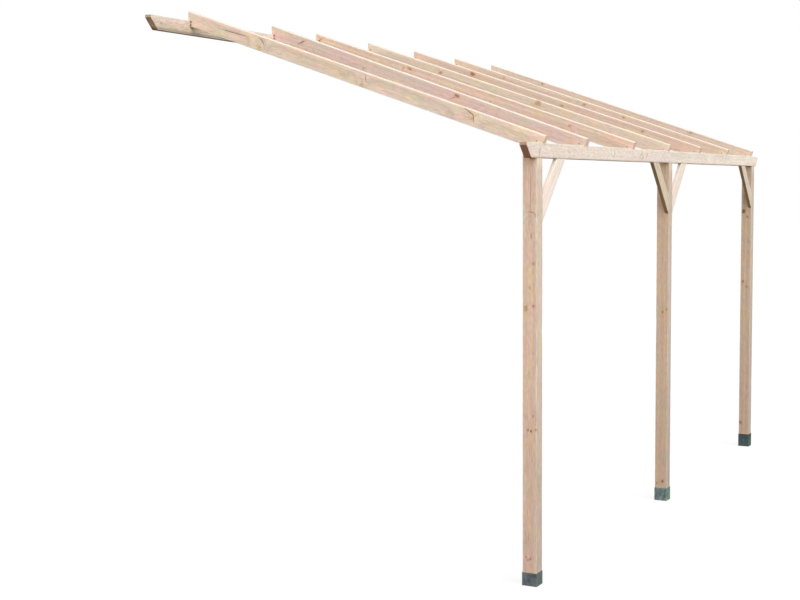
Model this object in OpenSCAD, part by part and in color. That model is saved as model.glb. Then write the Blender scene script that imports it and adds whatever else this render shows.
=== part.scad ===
// Timber carport frame that leans on a house wall: three posts on steel shoes carry an eaves beam,
// a ledger is screwed to the wall, and seven rafters lie notched over the two. It has no roof covering.
//
// The frame is laid out from the ground, the front of the posts and the middle of the roof:
// x runs along the eaves, y from the posts to the wall, z up. At the end it is moved so that
// the origin is the middle of the ledger's wall face.

/* [Posts] */
// Side of each square post
post_width = 90; // [70:1:140]
// Distance between the centres of neighbouring posts
post_spacing = 2565; // [2000:5:3200]
// How far the row of posts stands to the right of the roof's middle
post_row_shift = 15; // [-60:1:60]
// How far the middle post stands to the right of the middle of its row
middle_post_shift = 42; // [-100:1:100]
// Height of the beam's underside above the ground
clear_height = 2555; // [2000:5:3200]
// Gap between the tongue of a post, behind the beam, and the underside of the rafters
tongue_gap = 9; // [4:1:30]

/* [Post shoes] */
// Height of the first post's steel shoe
shoe_height = 80; // [50:1:200]
// How much taller each further shoe is than the one before it
shoe_rise = 16; // [0:1:60]
// Thickness of the steel of the shoes
shoe_wall = 3; // [2:0.5:6]
// Gap between a post and its shoe, on each side
shoe_gap = 0.5; // [0.2:0.1:2]

/* [Eaves beam] */
// Depth of the beam, from top to bottom
beam_depth = 90; // [75:1:180]
// Thickness of the beam, from front to back
beam_thick = 45; // [35:1:60]
// How far the top of the beam runs past the outer rafters
beam_overhang = 245; // [150:5:500]
// Width of the seam between the two lengths of the beam
beam_seam = 1; // [0.5:0.5:5]

/* [Ledger] */
// Depth of the ledger, from top to bottom
ledger_depth = 90; // [75:1:180]
// Thickness of the ledger, from the wall outward
ledger_thick = 45; // [35:1:80]
// How far the top of the ledger runs past the outer rafters
ledger_overhang = 423; // [250:1:700]
// How much the bevelled ends of the beam and the ledger are shorter at the bottom
end_bevel = 73; // [0:1:120]
// Height of the square nose above the bevel at those ends
end_nose = 17; // [2:1:60]
// Diameter of the holes for the wall screws
wall_hole = 10; // [6:1:16]
// Number of wall screws, an even one that leaves the ledger's middle whole
wall_hole_count = 6; // [2:2:10]
// Distance from the ledger's end to the first wall screw, along the top
wall_hole_inset = 108; // [90:1:250]

/* [Rafters] */
// Depth of the rafters, square to their slope
rafter_depth = 95; // [80:1:180]
// Thickness of the rafters
rafter_thick = 45; // [30:1:70]
// Distance from one rafter to the next
rafter_spacing = 827.5; // [500:2.5:1000]
// Slope of the rafters, in degrees
roof_pitch = 19.1; // [8:0.1:30]
// Distance from the front of the beam to the front of the ledger
roof_depth = 2520; // [1800:5:4000]
// Depth of the notches over the beam and the ledger, where the rafter's underside meets them
rafter_notch = 36; // [15:1:45]
// How far the top of a rafter's foot reaches past the front of the beam
rafter_tail = 19; // [5:1:200]
// How far a rafter's head lies on the ledger
rafter_bearing = 12; // [8:1:35]
// How far the head of the skewed second rafter is shifted to the right
skew_head_shift = 197; // [-300:1:300]
// How far the foot of the skewed second rafter is shifted to the right
skew_foot_shift = -120; // [-300:1:300]

/* [Braces] */
// Reach of the knee braces, along the beam and down the post alike
brace_reach = 375; // [250:5:600]
// Width of the boards that the braces are cut from
brace_width = 95; // [60:1:140]
// Thickness of the braces
brace_thick = 28; // [18:1:45]

/* [Hidden] */
post_count = 3;
rafter_count = 7;
skewed_rafter = 2;

timber_colour = [0.82, 0.72, 0.62];
pale_timber_colour = [0.88, 0.84, 0.77];
steel_colour = [0.36, 0.38, 0.38];

// Cutting boxes reach this far past what they cut
cut_reach = 4 * (rafter_depth + rafter_thick + abs(skew_head_shift) + abs(skew_foot_shift));

beam_top = clear_height + beam_depth;
tongue_height = beam_depth - rafter_notch - tongue_gap;
rafter_plumb_depth = rafter_depth / cos(roof_pitch);
// Height of the rafters' top over the front of the beam
rafter_top = beam_top - rafter_notch - beam_thick * tan(roof_pitch) + rafter_plumb_depth;
ledger_top = rafter_top - rafter_plumb_depth + roof_depth * tan(roof_pitch) + rafter_notch;
wall_y = roof_depth + ledger_thick;

// Half the distance between the outer sides of the outer rafters
rafters_half = ((rafter_count - 1) * rafter_spacing + rafter_thick) / 2;
beam_half = rafters_half + beam_overhang;
ledger_half = rafters_half + ledger_overhang;
brace_level_cut = brace_width * sqrt(2);
wall_hole_spacing = 2 * (ledger_half - wall_hole_inset) / (wall_hole_count - 1);

// Centre of a post along the eaves
function post_x(number) =
    post_row_shift
    + (number - (post_count + 1) / 2) * post_spacing
    + (number == (post_count + 1) / 2 ? middle_post_shift : 0);

// Left side of a rafter as it is set out, before any skew
function rafter_x(number) = (number - 1) * rafter_spacing - rafters_half;

// Moves what is laid out from the ground so that the origin is on the ledger's wall face
module from_ground() {
    translate([0, -wall_y, ledger_depth / 2 - ledger_top])
        children();
}

// A board that stands on edge, with the given outline in x and z, and its front at y = 0
module upright_board(outline, thick) {
    translate([0, thick, 0])
        rotate([90, 0, 0])
            linear_extrude(thick)
                polygon(outline);
}

// Post with a rebate in front for the beam, and a tongue that stands up behind it
module post(number) {
    color(timber_colour)
        from_ground()
            translate([post_x(number) - post_width / 2, 0, 0]) {
                translate([0, 0, shoe_wall])
                    cube([post_width, post_width, clear_height - shoe_wall]);
                translate([0, beam_thick, clear_height - tongue_height])
                    cube([post_width, post_width - beam_thick, 2 * tongue_height]);
            }
}

// Square steel sleeve with a closed bottom that the post stands in
module post_shoe(number) {
    inner = post_width + 2 * shoe_gap;
    outer = inner + 2 * shoe_wall;
    height = shoe_height + (number - 1) * shoe_rise;
    color(steel_colour)
        from_ground()
            translate([post_x(number) - outer / 2, post_width / 2 - outer / 2, 0])
                difference() {
                    cube([outer, outer, height]);
                    translate([shoe_wall, shoe_wall, shoe_wall])
                        cube([inner, inner, height]);
                }
}

// One length of the eaves beam, from the seam over the middle post to its bevelled end
module eaves_beam(side) {
    seam_x = post_x(2) + side * beam_seam / 2;
    end_x = side * beam_half;
    color(pale_timber_colour)
        from_ground()
            upright_board([
                [seam_x, clear_height],
                [end_x - side * end_bevel, clear_height],
                [end_x, beam_top - end_nose],
                [end_x, beam_top],
                [seam_x, beam_top]
            ], beam_thick);
}

// Ledger along the wall, with bevelled ends and a row of holes for the wall screws
module ledger() {
    color(timber_colour)
        from_ground()
            translate([0, roof_depth, ledger_top - ledger_depth])
                difference() {
                    upright_board([
                        [-ledger_half + end_bevel, 0],
                        [ledger_half - end_bevel, 0],
                        [ledger_half, ledger_depth - end_nose],
                        [ledger_half, ledger_depth],
                        [-ledger_half, ledger_depth],
                        [-ledger_half, ledger_depth - end_nose]
                    ], ledger_thick);
                    for (index = [0 : wall_hole_count - 1])
                        translate([
                            wall_hole_inset - ledger_half + index * wall_hole_spacing,
                            2 * ledger_thick,
                            ledger_depth / 2
                        ])
                            rotate([90, 0, 0])
                                cylinder(d = wall_hole, h = 3 * ledger_thick, $fn = 32);
                }
}

// Rafter from its square foot to its plumb head, notched over the beam and the ledger
module rafter(number) {
    skewed = number == skewed_rafter;
    foot_x = rafter_x(number) + (skewed ? skew_foot_shift : 0);
    head_x = rafter_x(number) + (skewed ? skew_head_shift : 0);
    turn = atan((head_x - foot_x) / roof_depth);
    rake = atan(tan(roof_pitch) * cos(turn));
    blank_length = (rafter_tail + wall_y + rafter_depth) / (cos(rake) * cos(turn));
    cut_x = min(foot_x, head_x) - cut_reach / 2;
    color(timber_colour)
        from_ground()
            difference() {
                translate([foot_x, 0, rafter_top])
                    rotate([rake, 0, -turn])
                        translate([0, -rafter_tail / cos(rake), -rafter_depth])
                            cube([rafter_thick, blank_length, rafter_depth]);
                // Plumb cut of the head
                translate([cut_x, roof_depth + rafter_bearing, ledger_top - cut_reach])
                    cube([cut_reach, cut_reach, 2 * cut_reach]);
                // Seat over the ledger
                translate([cut_x, roof_depth, ledger_top - cut_reach])
                    cube([cut_reach, cut_reach, cut_reach]);
                // Seat over the beam, open toward the foot
                translate([cut_x, beam_thick - cut_reach, beam_top - cut_reach])
                    cube([cut_reach, cut_reach, cut_reach]);
            }
}

// Knee brace from the side of a post to the underside of the beam, flush with their fronts
module brace(number, side) {
    inner_reach = brace_reach - brace_level_cut;
    color(timber_colour)
        from_ground()
            translate([post_x(number) + side * post_width / 2, 0, clear_height])
                upright_board([
                    [0, -brace_reach],
                    [side * brace_reach, 0],
                    [side * inner_reach, 0],
                    [0, -inner_reach]
                ], brace_thick);
}

post(1);  // post_1
post(2);  // post_2
post(3);  // post_3
post_shoe(1);  // post_shoe_1
post_shoe(2);  // post_shoe_2
post_shoe(3);  // post_shoe_3
eaves_beam(-1);  // eaves_beam_left
eaves_beam(1);  // eaves_beam_right
ledger();
rafter(1);  // rafter_1
rafter(2);  // rafter_2
rafter(3);  // rafter_3
rafter(4);  // rafter_4
rafter(5);  // rafter_5
rafter(6);  // rafter_6
rafter(7);  // rafter_7
brace(1, 1);  // brace_1_right
brace(2, -1);  // brace_2_left
brace(2, 1);  // brace_2_right
brace(3, -1);  // brace_3_left
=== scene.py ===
"""Timber carport frame that leans on a wall: softwood on steel shoes, with its knots, cracks and screws."""
import math
import random

import bmesh
import bpy
from mathutils import Matrix, Vector, noise


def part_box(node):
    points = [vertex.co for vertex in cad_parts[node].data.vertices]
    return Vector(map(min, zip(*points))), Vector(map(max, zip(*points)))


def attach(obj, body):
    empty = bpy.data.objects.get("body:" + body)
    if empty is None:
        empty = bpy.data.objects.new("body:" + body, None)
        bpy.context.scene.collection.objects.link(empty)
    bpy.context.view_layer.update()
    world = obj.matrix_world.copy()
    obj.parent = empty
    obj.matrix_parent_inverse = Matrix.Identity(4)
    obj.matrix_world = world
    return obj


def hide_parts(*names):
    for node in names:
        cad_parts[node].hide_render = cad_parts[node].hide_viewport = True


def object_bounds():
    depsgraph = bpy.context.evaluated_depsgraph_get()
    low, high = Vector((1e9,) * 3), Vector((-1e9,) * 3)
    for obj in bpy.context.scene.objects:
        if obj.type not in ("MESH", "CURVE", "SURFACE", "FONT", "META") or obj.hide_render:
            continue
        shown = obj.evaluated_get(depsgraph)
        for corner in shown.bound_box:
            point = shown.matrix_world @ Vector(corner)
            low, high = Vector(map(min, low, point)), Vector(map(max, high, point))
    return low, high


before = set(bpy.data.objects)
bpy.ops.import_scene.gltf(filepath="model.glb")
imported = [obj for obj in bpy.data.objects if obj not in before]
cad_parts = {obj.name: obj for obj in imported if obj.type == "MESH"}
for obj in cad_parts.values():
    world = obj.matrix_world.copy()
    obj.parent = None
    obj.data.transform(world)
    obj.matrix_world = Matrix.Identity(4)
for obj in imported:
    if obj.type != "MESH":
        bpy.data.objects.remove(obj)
cad_low, cad_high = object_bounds()

scene = bpy.context.scene
scene.view_settings.view_transform = "Standard"

BODY = "root"
SEED = 7
MM = 0.001
UP = Vector((0, 0, 1))
BACK = Vector((0, 1, 0))

# Camera at the photograph's angle, in a picture of 800 by 600
CAMERA_PLACE = Vector((-10.3989, -5.7327, -1.0641))
CAMERA_YAW = 0.4813
CAMERA_PITCH = -0.0792
CAMERA_ROLL = -0.0066
LENS = 64.283
SENSOR = 36.0
CLIP_END = 200

# Light, as the share of a white surface's full brightness
SKY_LOW = 1.42
SKY_HIGH = 0.10
SKY_RISE = 0.08
KEY = 1.04
KEY_FROM = Vector((-0.60, -0.60, 0.53))
FILL = 0.30
FILL_FROM = Vector((0.55, 0.75, 0.35))
SOFTNESS = math.radians(100)
LAMP_AWAY = 15
FLOOR_SIZE = 70.0
FLOOR_PARTS = 8
FLOOR_BOUNCE = (0.13, 0.105, 0.075, 1)
FLOOR_GLOW = 0.78
WHITE = (1, 1, 1, 1)


# Shader nodes

# Sockets of the node that mixes colours
MIX_FACTOR = 0
MIX_FIRST = 6
MIX_SECOND = 7
MIX_RESULT = 2
# Detail of a noise
PLAIN = 1.0
USUAL = 2.0
FINE = 3.0
FINEST = 4.0


class Graph:
    """Short calls that add shader nodes to one tree."""

    def __init__(self, tree):
        self.tree = tree

    def add(self, kind, **settings):
        node = self.tree.nodes.new(kind)
        for key, value in settings.items():
            setattr(node, key, value)
        return node

    def put(self, socket, value):
        if isinstance(value, bpy.types.NodeSocket):
            self.tree.links.new(value, socket)
        else:
            socket.default_value = value

    def fill(self, node, values):
        for socket, value in zip(node.inputs, values):
            self.put(socket, value)

    def math(self, operation, *values, clamp=False):
        node = self.add("ShaderNodeMath", operation=operation, use_clamp=clamp)
        self.fill(node, values)
        return node.outputs[0]

    def vector(self, operation, *values):
        node = self.add("ShaderNodeVectorMath", operation=operation)
        self.fill(node, values)
        scalar = operation in ("LENGTH", "DOT_PRODUCT")
        return node.outputs["Value" if scalar else "Vector"]

    def times(self, *values):
        """Product of two or more numbers."""
        product = values[0]
        for value in values[1:]:
            product = self.math("MULTIPLY", product, value)
        return product

    def flipped(self, value):
        return self.math("SUBTRACT", 1.0, value)

    def spread(self, value):
        """A number as a vector with that number three times."""
        return self.vector("MULTIPLY", value, (1, 1, 1))

    def split(self, value):
        node = self.add("ShaderNodeSeparateXYZ")
        self.put(node.inputs[0], value)
        return node.outputs

    def step(self, value, low, high):
        """Rises softly from 0 at low to 1 at high."""
        node = self.add("ShaderNodeMapRange", interpolation_type="SMOOTHSTEP")
        self.put(node.inputs["Value"], value)
        self.put(node.inputs["From Min"], low)
        self.put(node.inputs["From Max"], high)
        return node.outputs[0]

    def fade(self, value, low, high):
        """Falls softly from 1 at low to 0 at high."""
        return self.flipped(self.step(value, low, high))

    def span(self, value, low, high):
        """Takes 0 to 1 to low to high."""
        return self.math("MULTIPLY_ADD", value, high - low, low)

    def noise(self, place, turns, detail=USUAL, rough=0.5, output=0):
        """Noise with so many turns to a metre, along each axis."""
        node = self.add("ShaderNodeTexNoise")
        self.put(node.inputs["Vector"], self.vector("MULTIPLY", place, turns))
        node.inputs["Scale"].default_value = 1.0
        node.inputs["Detail"].default_value = detail
        node.inputs["Roughness"].default_value = rough
        return node.outputs[output]

    def drift(self, place, turns):
        """A vector that wanders about zero."""
        return self.vector("SUBTRACT", self.noise(place, turns, output=1), (0.5, 0.5, 0.5))

    def mix(self, factor, first, second, blend="MIX"):
        node = self.add("ShaderNodeMix", data_type="RGBA", blend_type=blend)
        self.put(node.inputs[MIX_FACTOR], factor)
        self.put(node.inputs[MIX_FIRST], first)
        self.put(node.inputs[MIX_SECOND], second)
        return node.outputs[MIX_RESULT]

    def tint(self, factor, colour, by):
        return self.mix(factor, colour, by, "MULTIPLY")

    def bump(self, shader, height, strength, distance):
        node = self.add("ShaderNodeBump")
        node.inputs["Strength"].default_value = strength
        node.inputs["Distance"].default_value = distance
        self.put(node.inputs["Height"], height)
        self.put(shader.inputs["Normal"], node.outputs["Normal"])


def new_group(name, inputs, outputs):
    """An empty node group with its sockets, listed by kind: (graph, what comes in, what goes out)."""
    tree = bpy.data.node_groups.new(name, "ShaderNodeTree")
    for way, sockets in (("INPUT", inputs), ("OUTPUT", outputs)):
        for kind, labels in sockets.items():
            for label in labels:
                tree.interface.new_socket(label, in_out=way, socket_type="NodeSocket" + kind)
    came = tree.nodes.new("NodeGroupInput").outputs
    goes = tree.nodes.new("NodeGroupOutput").inputs
    return Graph(tree), came, goes


def use_group(graph, tree, **values):
    """Adds a node group and sets its inputs, which are named in small letters."""
    node = graph.add("ShaderNodeGroup")
    node.node_tree = tree
    for label, value in values.items():
        graph.put(node.inputs[label.capitalize().replace("_", " ")], value)
    return node.outputs


def new_material(name):
    """A material with an empty Principled shader: (material, graph, shader)."""
    material = bpy.data.materials.new(name)
    material.use_nodes = True
    shader = material.node_tree.nodes["Principled BSDF"]
    return material, Graph(material.node_tree), shader


# Knots

KNOT_INPUTS = {"Vector": ("Place", "Centre", "Axis"), "Float": ("Radius", "Reach", "Shake")}
KNOT_OUTPUTS = {"Float": ("Heart", "Bark", "Halo", "Push", "Arc")}
KNOT_END = 6 * MM
# How the edge of a knot wavers, and how it is drawn out along the grain
KNOT_WAVER_TURNS = (48, 48, 34)
KNOT_WAVER = 1.5
KNOT_DRAWN_OUT = (1.0, 1.0, 0.75)
# Where its parts set in and end, as shares of the knot's radius
HEART_EDGE = (0.35, 1.10)
BARK_AT = 0.85
BARK_EDGE = (0.02, 0.28)
BARK_PATCH_TURNS = (60, 60, 60)
BARK_PATCH_EDGE = (0.40, 0.60)
HALO_EDGE = (0.6, 2.6)
ARC_AT = 1.0
ARC_EDGE = (0.03, 0.20)
ARC_SIDE = (-0.35, 0.35)
# The heart's own rings, and how far and how high the wood's rings are pushed
HEART_RINGS = 19.0
HEART_RING_SHADE = (0.78, 1.0)
PUSH_FALL = -0.35
PUSH_HEIGHT = 0.7


def knot_group():
    """A branch through the timber: heart, bark, tinted wood, a stained arc, and its push on the rings."""
    graph, came, goes = new_group("knot", KNOT_INPUTS, KNOT_OUTPUTS)
    waver = graph.drift(came["Place"], KNOT_WAVER_TURNS)
    waver = graph.vector("MULTIPLY", waver, graph.times(came["Radius"], KNOT_WAVER))
    away = graph.vector("ADD", graph.vector("SUBTRACT", came["Place"], came["Centre"]), waver)
    deep = graph.vector("DOT_PRODUCT", away, came["Axis"])
    flat = graph.vector("SUBTRACT", away, graph.vector("MULTIPLY", came["Axis"], deep))
    flat = graph.vector("MULTIPLY", flat, KNOT_DRAWN_OUT)
    share = graph.math("DIVIDE", graph.vector("LENGTH", flat), came["Radius"])
    within = graph.step(graph.math("ADD", deep, came["Reach"]), 0.0, KNOT_END)
    rings = graph.span(graph.math("SINE", graph.times(share, HEART_RINGS)), *HEART_RING_SHADE)
    heart = graph.times(graph.fade(share, *HEART_EDGE), rings)
    patches = graph.step(graph.noise(came["Place"], BARK_PATCH_TURNS, PLAIN), *BARK_PATCH_EDGE)
    bark = graph.fade(graph.math("ABSOLUTE", graph.math("SUBTRACT", share, BARK_AT)), *BARK_EDGE)
    bark = graph.times(bark, patches)
    halo = graph.fade(share, *HALO_EDGE)
    arc = graph.fade(graph.math("ABSOLUTE", graph.math("SUBTRACT", share, ARC_AT)), *ARC_EDGE)
    ahead = graph.math("DIVIDE", graph.times(graph.split(away)[2], came["Shake"]), came["Radius"])
    arc = graph.times(arc, graph.step(ahead, *ARC_SIDE))
    push = graph.math("EXPONENT", graph.times(share, share, PUSH_FALL))
    push = graph.times(push, graph.times(came["Radius"], PUSH_HEIGHT))
    for label, value in (("Heart", heart), ("Bark", bark), ("Halo", halo), ("Push", push), ("Arc", arc)):
        graph.put(goes[label], graph.times(value, within))
    return graph.tree


# Wood

# Tints that the wood's colour is multiplied by
PINK = (1.04, 0.945, 1.01, 1)
YELLOW = (1.04, 1.03, 0.89, 1)
GREEN = (0.925, 1.0, 0.96, 1)
SUMMER = (0.80, 0.66, 0.52, 1)
STAIN = (0.60, 0.55, 0.50, 1)
# Painted shade along the lower edges
PAINTED_EDGE_SHADE = (0.40, 0.39, 0.35, 1)
HALO = (0.97, 0.80, 0.66, 1)

# Colours of their own; the first is painted light for the fronts
PAINTED_FRONT_COLOUR = (0.92, 0.825, 0.735, 1)
# Painted highlight on the arrises
ARRIS_HIGHLIGHT = (0.94, 0.87, 0.77, 1)
HEART = (0.165, 0.09, 0.058, 1)
BARK = (0.10, 0.05, 0.03, 1)

# Patches: where their noise is read, its turns to a metre, its detail, and the levels where they set in
PATCHES = {
    "pink": ((0, 0, 0), (12, 12, 6.0), USUAL, 0.42, 0.62),
    "yellow": ((3, 5, 7), (15, 15, 7.5), USUAL, 0.46, 0.66),
    "green": ((9, 2, 4), (17, 17, 8.5), USUAL, 0.47, 0.67),
    "speck": ((0, 0, 0), (150, 150, 60), PLAIN, 0.70, 0.78),
    "stain": ((5, 8, 1), (18, 18, 5), FINE, 0.60, 0.76),
}
YELLOW_SHARE = 0.75
SPECK_SHARE = 0.45
STAIN_SHARE = 0.30

# Year rings: the wandering pith, waves in the rings, and the dark summer wood as a share of each ring
PITH_TURNS = (1.0, 1.0, 0.9)
PITH_DRIFT = (0.05, 0.05, 0.0)
RING_WAVE_TURNS = (24, 24, 2.2)
RING_WAVE = 3.5 * MM
SUMMER_RISE = (0.30, 0.88)
SUMMER_FALL = (0.92, 1.0)
SUMMER_YEARS = (0.4, 1.0)
SUMMER_SHARE = 0.55
SUMMER_ON_LIT_FRONT = 0.30
SAP_WAVE = 1.5
SAP_EDGE = 5 * MM

# Fibres, streaks, bands of rings and saw marks: turns to a metre, and how far they lighten and darken
FIBRE_TURNS = (520, 520, 12)
FIBRE_SHADE = (0.95, 1.05)
STREAK_TURNS = (55, 55, 1.1)
STREAK_SHADE = (0.88, 1.13)
BAND_TURNS = (48, 48, 48)
BAND_SHADE = (0.72, 1.30)
SAW_TURNS = (110, 110, 24)
SAW_FROM = (6, 6, 2)
GRAIN_ROUGH = 0.6

# Painted light on the fronts, which makes them paler, and a darkening that rises from the foot and is heavier
# on the front
FRONT_EDGE = (0.3, 0.8)
FRONT_LIGHT_TURNS = (10, 10, 1.6)
FRONT_LIGHT_RANGE = (0.70, 1.20)
FOOT_DARKENING_HEIGHT = 1.8
FOOT_DARKENING_ON_FRONT = 1.7

# Painted shade on undersides, and end-grain tints, by the way they face; painted shade along lower edges and
# a painted highlight on arrises by their reach
PAINTED_UNDER_EDGE = (0.25, 0.60)
END_EDGE = (0.45, 0.7)
EDGE_SHADE_WAVER_TURNS = (30, 30, 7)
EDGE_SHADE_WAVER = 4 * MM
PAINTED_EDGE_SHADE_FROM = 2 * MM
PAINTED_EDGE_SHADE_REACH = 24 * MM
HIGHLIGHT_WAVER_TURNS = (40, 40, 9)
HIGHLIGHT_WAVER = 3 * MM
ARRIS_HIGHLIGHT_EDGE = (3 * MM, 8 * MM)

# Roughness and relief
WOOD_ROUGH = (0.60, 0.80)
SUMMER_POLISH = -0.10
HEART_POLISH = -0.12
SUMMER_RELIEF = 0.45
FIBRE_RELIEF = 0.35
SAW_RELIEF = 0.8
BARK_RELIEF = 0.8
WOOD_BUMP = 0.6
WOOD_BUMP_DEPTH = 0.35 * MM
WOOD_GLOSS = 0.25

WOOD_INPUTS = {
    "Vector": ("Place", "Shift", "Pith", "Half"),
    "Color": ("Heartwood", "Sapwood", "End", "Under"),
    "Float": (
        "Ring", "Push", "Heart", "Bark", "Halo", "Sap from", "Blush", "Moss", "Bleach", "Speckle", "Arris",
        "Soil", "Damp", "Tone",
    ),
}
WOOD_OUTPUTS = {"Color": ("Colour",), "Float": ("Roughness", "Height")}


def patch(graph, seeded, name):
    """Where one kind of patch lies, from 0 to 1."""
    start, turns, detail, low, high = PATCHES[name]
    return graph.step(graph.noise(graph.vector("ADD", seeded, start), turns, detail), low, high)


def year_rings(graph, came, seeded):
    """Rings about a pith that wanders along the length: (distance from the pith, wave in it, summer wood)."""
    drift = graph.drift(graph.vector("MULTIPLY", seeded, UP), PITH_TURNS)
    drift = graph.vector("MULTIPLY", drift, PITH_DRIFT)
    spoke = graph.vector("MULTIPLY", graph.vector("SUBTRACT", came["Place"], came["Pith"]), (1, 1, 0))
    radius = graph.vector("LENGTH", graph.vector("ADD", spoke, drift))
    wave = graph.span(graph.noise(seeded, RING_WAVE_TURNS, FINE), -RING_WAVE, RING_WAVE)
    radius = graph.math("ADD", graph.math("ADD", radius, wave), came["Push"])
    age = graph.math("DIVIDE", radius, came["Ring"])
    phase = graph.math("FRACT", age)
    year = graph.add("ShaderNodeTexWhiteNoise", noise_dimensions="1D")
    graph.put(year.inputs["W"], graph.math("FLOOR", age))
    summer = graph.times(graph.step(phase, *SUMMER_RISE), graph.fade(phase, *SUMMER_FALL))
    summer = graph.times(summer, graph.span(year.outputs["Value"], *SUMMER_YEARS))
    return radius, wave, summer


def blotched_wood(graph, came, seeded, radius, wave, pink, green):
    """Colour of heartwood and sapwood, with pink, yellow and green blotches."""
    past = graph.math("SUBTRACT", radius, came["Sap from"])
    sap = graph.step(graph.math("ADD", past, graph.times(wave, SAP_WAVE)), -SAP_EDGE, SAP_EDGE)
    colour = graph.mix(sap, came["Heartwood"], came["Sapwood"])
    colour = graph.tint(graph.times(pink, came["Blush"]), colour, PINK)
    colour = graph.tint(graph.times(patch(graph, seeded, "yellow"), YELLOW_SHARE), colour, YELLOW)
    return graph.tint(graph.times(green, came["Moss"]), colour, GREEN)


def paint_front_light(graph, came, seeded, colour, front, pink, green):
    """Painted light on the fronts, which makes them paler: (colour, how far each spot is made paler)."""
    patchy = graph.span(graph.noise(seeded, FRONT_LIGHT_TURNS), *FRONT_LIGHT_RANGE)
    pale = graph.math("MULTIPLY", graph.times(front, came["Bleach"]), patchy, clamp=True)
    colour = graph.mix(pale, colour, PAINTED_FRONT_COLOUR)
    colour = graph.tint(graph.times(pink, graph.times(pale, came["Blush"])), colour, PINK)
    return graph.tint(graph.times(green, graph.times(pale, came["Moss"])), colour, GREEN), pale


def grain_light(graph, came, seeded, radius, fibre, saw):
    """How much fibres, streaks, bands of rings and saw marks lighten or darken the wood."""
    streak = graph.noise(seeded, STREAK_TURNS, FINE, GRAIN_ROUGH)
    band = graph.noise(graph.vector("ADD", graph.spread(radius), came["Shift"]), BAND_TURNS, FINE)
    light = graph.times(graph.span(streak, *STREAK_SHADE), graph.span(fibre, *FIBRE_SHADE))
    return graph.times(light, graph.span(band, *BAND_SHADE), graph.math("ADD", saw, 1.0))


def tone_light(graph, came, front):
    """The timber's own tone, darker toward the foot and more so on the front."""
    up = graph.step(graph.split(came["Place"])[2], 0.0, FOOT_DARKENING_HEIGHT)
    darkened = graph.times(graph.flipped(up), came["Soil"], graph.span(front, 1.0, FOOT_DARKENING_ON_FRONT))
    return graph.math("SUBTRACT", came["Tone"], darkened)


def weathered(graph, came, seeded, colour, normal):
    """Specks, stains, painted shade on undersides, end grain, painted shade along lower edges and a painted
    highlight on the arrises, on the wood's colour.
    """
    place = came["Place"]
    specks = graph.times(patch(graph, seeded, "speck"), SPECK_SHARE)
    stains = graph.times(patch(graph, seeded, "stain"), STAIN_SHARE)
    colour = graph.tint(graph.math("MAXIMUM", specks, stains), colour, STAIN)
    faces = graph.split(graph.add("ShaderNodeNewGeometry").outputs["Normal"])
    # Painted shade: faces that look down are darkened
    under = graph.step(graph.times(faces[2], -1.0), *PAINTED_UNDER_EDGE)
    colour = graph.tint(under, colour, came["Under"])
    end = graph.step(graph.math("ABSOLUTE", normal[2]), *END_EDGE)
    colour = graph.tint(end, colour, came["End"])
    # Painted shade: a dark band along the lower edge, with a wavering top
    foot = graph.math("ADD", graph.split(came["Half"])[1], graph.split(place)[1])
    edge_shade_waver = graph.span(graph.noise(seeded, EDGE_SHADE_WAVER_TURNS, FINE), -EDGE_SHADE_WAVER, EDGE_SHADE_WAVER)
    damp = graph.fade(graph.math("ADD", foot, edge_shade_waver), PAINTED_EDGE_SHADE_FROM, graph.times(came["Damp"], PAINTED_EDGE_SHADE_REACH))
    colour = graph.tint(graph.times(damp, came["Damp"]), colour, PAINTED_EDGE_SHADE)
    # Painted highlight: arrises made paler, except on end grain and on faces that look down
    inset = graph.split(graph.vector("SUBTRACT", came["Half"], graph.vector("ABSOLUTE", place)))
    highlight_waver = graph.span(graph.noise(seeded, HIGHLIGHT_WAVER_TURNS), -HIGHLIGHT_WAVER, HIGHLIGHT_WAVER)
    near = graph.math("ADD", graph.math("MAXIMUM", inset[0], inset[1]), highlight_waver)
    arris_highlight = graph.times(graph.fade(near, *ARRIS_HIGHLIGHT_EDGE), graph.flipped(end), graph.flipped(under))
    return graph.mix(graph.times(arris_highlight, came["Arris"]), colour, ARRIS_HIGHLIGHT)


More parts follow.
